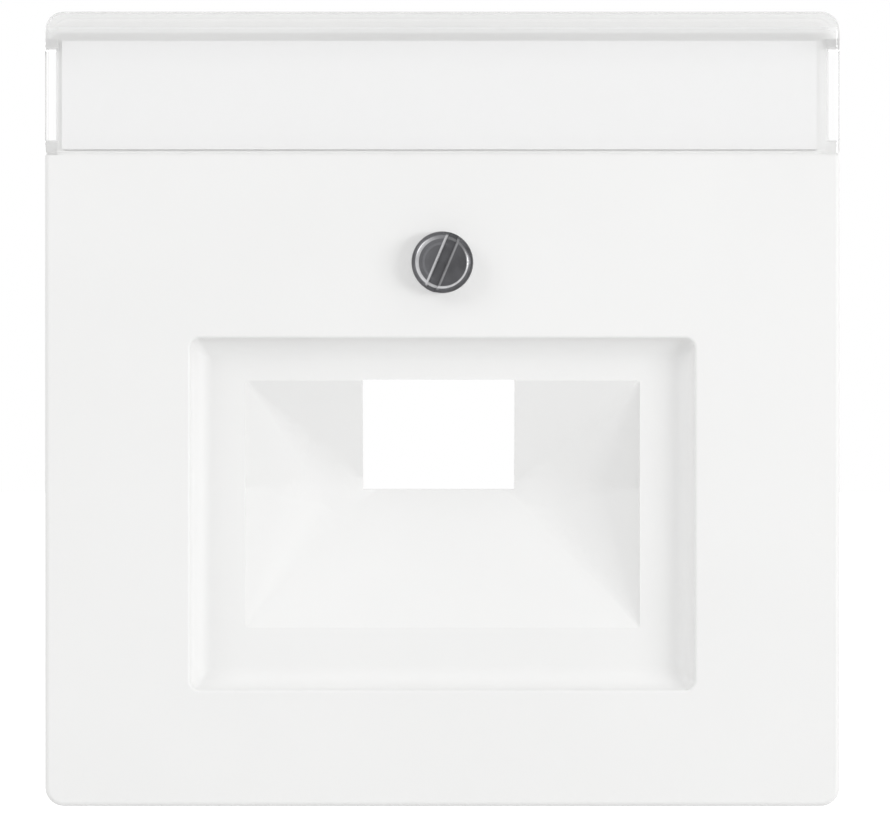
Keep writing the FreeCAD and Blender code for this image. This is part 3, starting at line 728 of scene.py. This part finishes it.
@dataclass
class CaptiveScrew:
    """The slotted screw, with its thread, and the washer that keeps it with the plate.

    Lengths along the axis are depths in the plate's frame; the head faces -Y.
    """

    centre: Vector
    head_front: float
    tip: float
    head_rear: float = -9.5 * MM
    head_radius: float = 2.45 * MM
    head_round: float = 0.6 * MM
    slot_turn: float = math.radians(23.0)
    slot_half: float = 0.38 * MM
    slot_depth: float = 0.8 * MM
    lip: float = 0.07 * MM
    neck_radius: float = 1.15 * MM
    neck_end: float = -0.9 * MM
    thread_radius: float = 1.5 * MM
    thread_root: float = 1.2 * MM
    pitch: float = 0.5 * MM
    crest_spare: float = 0.02 * MM
    neck_chamfer: float = 0.22 * MM
    tip_chamfer: float = 0.47 * MM
    smooth_angle: float = 32.0
    washer_front: float = -1.7 * MM
    washer_bore: float = 1.2 * MM
    washer_radius: float = 2.8 * MM
    washer_edge: float = 0.12 * MM
    nylon: NaturalNylon = field(default_factory=lambda: NaturalNylon(
        name="washer_nylon", colour=(0.80, 0.80, 0.76), roughness=0.5))

    def steel(self) -> TurnedSteel:
        """Return the screw's finish, centred on the screw."""
        return TurnedSteel(
            name="turned_steel", colour=(0.07, 0.07, 0.074), roughness=0.30,
            plated=(0.60, 0.60, 0.61), painted_glint_colour=(0.52, 0.52, 0.53), centre=tuple(self.centre),
            rim_start=1.93 * MM, rim_end=2.07 * MM, side_radius=self.head_radius,
            slot_half=self.slot_half, slot_depth=self.slot_depth, slot_turn=self.slot_turn,
            face_depth=self.head_front,
        )

    def build_head(self) -> bpy.types.Object:
        """Turn the head with its neck, which reaches into the thread's core."""
        rings = [
            Ring(self.neck_radius, self.neck_end + self.pitch),
            Ring(self.neck_radius, self.head_rear),
            Ring(self.head_radius, self.head_rear),
            *rounded(self.head_radius, self.head_front, self.head_round),
        ]
        return turn_piece("screw_surface", self.centre, rings)

    def build_slot_bar(self) -> bpy.types.Object:
        """Build the bar that cuts the slot; it flares in front to chamfer the slot's lips."""
        bpy.ops.object.select_all(action="DESELECT")
        bpy.ops.mesh.primitive_cube_add(size=1.0)
        bar = bpy.context.object
        height = self.slot_depth - self.lip
        bpy.ops.object.mode_set(mode="EDIT")
        bpy.ops.mesh.select_all(action="SELECT")
        size = (2 * self.slot_half, height, 4 * self.head_radius)
        bpy.ops.transform.resize(value=size, center_override=(0.0, 0.0, 0.0))
        middle = self.head_front + self.lip + height / 2
        bpy.ops.transform.translate(value=(0.0, middle, 0.0))
        bpy.ops.object.mode_set(mode="OBJECT")
        edit_faces(bar, lambda polygon: polygon.normal.y < -0.9)
        bpy.ops.mesh.extrude_region_move(
            TRANSFORM_OT_translate={"value": (0.0, -2 * self.lip, 0.0)})
        flare = (self.slot_half + 2 * self.lip) / self.slot_half
        bpy.ops.transform.resize(value=(flare, 1.0, 1.0), center_override=(0.0, 0.0, 0.0))
        bpy.ops.mesh.select_all(action="SELECT")
        bpy.ops.transform.rotate(
            value=-self.slot_turn, orient_axis="Y", center_override=(0.0, 0.0, 0.0))
        bpy.ops.transform.translate(value=(self.centre.x, 0.0, self.centre.z))
        bpy.ops.object.mode_set(mode="OBJECT")
        return bar

    def build_thread(self) -> bpy.types.Object:
        """Wind the thread's profile round the axis and trim it to a chamfered shank."""
        bpy.ops.object.select_all(action="DESELECT")
        bpy.ops.mesh.primitive_plane_add(size=self.pitch, location=self.centre)
        thread = bpy.context.object
        rise = self.thread_radius - self.thread_root
        flat, flank = self.pitch / 8, self.pitch * 5 / 16
        bpy.ops.object.mode_set(mode="EDIT")
        bpy.ops.mesh.select_all(action="SELECT")
        bpy.ops.mesh.merge(type="CENTER")
        start = (self.thread_root, self.neck_end - 2 * self.pitch, 0.0)
        bpy.ops.transform.translate(value=start)
        for out, along in ((0.0, 2 * flat), (rise, flank), (0.0, flat), (-rise, flank)):
            bpy.ops.mesh.extrude_region_move(TRANSFORM_OT_translate={"value": (out, along, 0.0)})
        bpy.ops.object.mode_set(mode="OBJECT")
        winding = thread.modifiers.new("winding", "SCREW")
        winding.axis = "Y"
        winding.steps = winding.render_steps = 48
        winding.screw_offset = self.pitch
        winding.iterations = math.ceil((self.tip - self.neck_end) / self.pitch) + 3
        winding.use_merge_vertices = True
        winding.merge_threshold = 0.001 * MM
        apply_modifiers(thread)
        bpy.ops.object.transform_apply(location=True, rotation=True, scale=True)
        self.close_ends(thread)
        combine(thread, self.build_blank(), Cut.TRIM)
        return thread

    def close_ends(self, thread: bpy.types.Object) -> None:
        """Cut the wound thread square a little beyond both ends of the shank and cap it."""
        spare = self.pitch / 5
        select_only(thread)
        bpy.ops.object.mode_set(mode="EDIT")
        for depth, beyond in ((self.neck_end - spare, False), (self.tip + spare, True)):
            bpy.ops.mesh.select_all(action="SELECT")
            bpy.ops.mesh.bisect(
                plane_co=(self.centre.x, depth, self.centre.z), plane_no=(0.0, 1.0, 0.0),
                use_fill=True, clear_inner=not beyond, clear_outer=beyond,
            )
        bpy.ops.object.mode_set(mode="OBJECT")
        clean_mesh(thread)

    def build_blank(self) -> bpy.types.Object:
        """Turn the shank that the thread is trimmed to, chamfered at both ends."""
        outer = self.thread_radius + self.crest_spare
        return turn_piece("thread_blank", self.centre, [
            Ring(outer - self.neck_chamfer, self.neck_end),
            Ring(outer, self.neck_end + self.neck_chamfer),
            Ring(outer, self.tip - self.tip_chamfer),
            Ring(outer - self.tip_chamfer, self.tip),
        ])

    def build_screw(self) -> bpy.types.Object:
        """Build and dress the screw, and return it."""
        screw = self.build_head()
        combine(screw, self.build_slot_bar(), Cut.REMOVE)
        combine(screw, self.build_thread(), Cut.JOIN)
        clean_mesh(screw)
        cut_triangles(screw)
        shade(screw, self.smooth_angle)
        finish_piece(screw, self.steel().build(), "screw", "fixing_screw")
        return screw

    def build_washer(self) -> bpy.types.Object:
        """Turn the washer, with small broken edges, dress it and return it."""
        front, rear, edge = self.washer_front, self.neck_end, self.washer_edge
        first = Ring(self.washer_bore, front + edge)
        washer = turn_piece("washer_surface", self.centre, [
            first,
            Ring(self.washer_bore + edge, front),
            Ring(self.washer_radius - edge, front),
            Ring(self.washer_radius, front + edge),
            Ring(self.washer_radius, rear - edge),
            Ring(self.washer_radius - edge, rear),
            Ring(self.washer_bore + edge, rear),
            Ring(self.washer_bore, rear - edge),
            first,
        ], hollow=True)
        shade(washer, self.smooth_angle)
        finish_piece(washer, self.nylon.build(), "retainer", "retaining_washer")
        return washer


@dataclass
class Studio:
    """Floor, backdrop, lamps and camera round the plate."""

    low: Vector
    drop: float = 8.0 * MM
    floor_size: float = 6.0
    floor_grey: float = 0.86
    floor_glow: float = 0.7
    ambient: float = 0.735
    camera_reach: float = 600.0 * MM
    view_width: float = 70.52 * MM
    aim: Vector = field(default_factory=lambda: Vector((0.21 * MM, 0.0, -0.09 * MM)))

    def build_floor(self) -> None:
        """Lay a plain white floor a little below the plate."""
        bpy.ops.object.select_all(action="DESELECT")
        place = (0.0, 0.0, self.low.z - self.drop)
        bpy.ops.mesh.primitive_plane_add(size=self.floor_size, location=place)
        floor = bpy.context.object
        floor.name = "studio_floor"
        bpy.ops.object.transform_apply(location=True, rotation=True, scale=True)
        material = bpy.data.materials.new("white_floor")
        material.use_nodes = True
        tree = NodeTree(material.node_tree)
        shader = material.node_tree.nodes["Principled BSDF"]
        shader.inputs["Base Color"].default_value = (*(self.floor_grey,) * 3, 1.0)
        shader.inputs["Roughness"].default_value = 1.0
        shader.inputs["Specular IOR Level"].default_value = 0.0
        lift = tree.maths("MULTIPLY", self.seen_ray(tree), self.floor_glow)
        shader.inputs["Emission Color"].default_value = (1.0, 1.0, 1.0, 1.0)
        tree.feed(shader, "Emission Strength", lift)
        floor.data.materials.append(material)

    def seen_ray(self, tree: NodeTree) -> bpy.types.NodeSocket:
        """Return 1 for camera, glossy and transmission rays, and 0 for the others."""
        path = tree.add("LightPath")
        seen = tree.maths("MAXIMUM", path.outputs["Is Camera Ray"], path.outputs["Is Glossy Ray"])
        return tree.maths("MAXIMUM", seen, path.outputs["Is Transmission Ray"])

    def build_world(self) -> None:
        """Surround the plate with soft light of strength `ambient`, seen directly as white."""
        world = bpy.data.worlds.new("studio_air")
        bpy.context.scene.world = world
        world.use_nodes = True
        tree = NodeTree(world.node_tree)
        background = world.node_tree.nodes["Background"]
        background.inputs["Color"].default_value = (1.0, 1.0, 1.0, 1.0)
        seen = self.seen_ray(tree)
        strength = tree.maths("MULTIPLY_ADD", seen, 1.0 - self.ambient, self.ambient)
        tree.feed(background, "Strength", strength)

    def add_lamp(self, name: str, place: tuple[float, float, float],
                 size: tuple[float, float], power: float) -> None:
        """Add a flat soft lamp that looks at the plate's centre.

        Args:
            name: The lamp's name.
            place: Where it hangs, in metres.
            size: Its width and height, in metres.
            power: Its power, in watts.
        """
        data = bpy.data.lights.new(name, "AREA")
        data.shape = "RECTANGLE"
        data.size, data.size_y = size
        data.energy = power
        lamp = bpy.data.objects.new(name, data)
        lamp.location = place
        lamp.rotation_euler = (-Vector(place)).to_track_quat("-Z", "Y").to_euler()
        bpy.context.collection.objects.link(lamp)

    def build_camera(self) -> None:
        """Set up the camera, square to the face and far away."""
        data = bpy.data.cameras.new("product_camera")
        data.sensor_width = 36.0
        data.lens = data.sensor_width * self.camera_reach / self.view_width
        data.clip_start = 0.01
        data.clip_end = 20.0
        camera = bpy.data.objects.new("product_camera", data)
        camera.location = (self.aim.x, self.low.y - self.camera_reach, self.aim.z)
        camera.rotation_euler = (math.radians(90.0), 0.0, 0.0)
        bpy.context.collection.objects.link(camera)
        bpy.context.scene.camera = camera

    def build(self) -> None:
        """Build the whole studio."""
        self.build_floor()
        self.build_world()
        self.add_lamp("right_lamp", place=(0.694, -0.486, 0.074), size=(0.4, 0.2), power=2.35)
        self.add_lamp("left_lamp", place=(-0.603, -0.422, 0.425), size=(0.4, 0.4), power=1.38)
        self.add_lamp("top_lamp", place=(0.0, -0.546, 0.651), size=(0.6, 0.4), power=0.37)
        self.add_lamp("high_right_lamp", place=(0.495, -0.231, 0.651), size=(0.4, 0.4), power=0.46)
        self.build_camera()
        scene = bpy.context.scene
        scene.view_settings.view_transform = "Standard"
        log.info("studio ready, lens %.0f mm", scene.camera.data.lens)


def main() -> None:
    """Build the pieces in order and report each one."""
    logging.basicConfig(level=logging.INFO, format="%(name)s: %(message)s")
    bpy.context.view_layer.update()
    grain_group()
    PlateMoulding().build()
    window = LabelWindow()
    window.build_cover()
    window.build_label()
    low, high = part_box("fixing_screw")
    centre = Vector(((low[0] + high[0]) / 2, 0.0, (low[2] + high[2]) / 2))
    screw = CaptiveScrew(centre=centre, head_front=low[1], tip=high[1])
    screw.build_screw()
    screw.build_washer()
    plate_low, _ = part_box("centre_plate")
    Studio(low=Vector(plate_low)).build()


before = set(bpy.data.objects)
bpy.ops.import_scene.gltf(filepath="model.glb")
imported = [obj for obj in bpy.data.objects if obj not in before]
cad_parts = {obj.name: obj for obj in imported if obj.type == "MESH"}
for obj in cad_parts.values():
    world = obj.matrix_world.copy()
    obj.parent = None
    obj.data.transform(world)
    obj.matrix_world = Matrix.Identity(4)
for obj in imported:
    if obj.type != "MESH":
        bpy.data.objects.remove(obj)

if __name__ == "__main__":
    main()
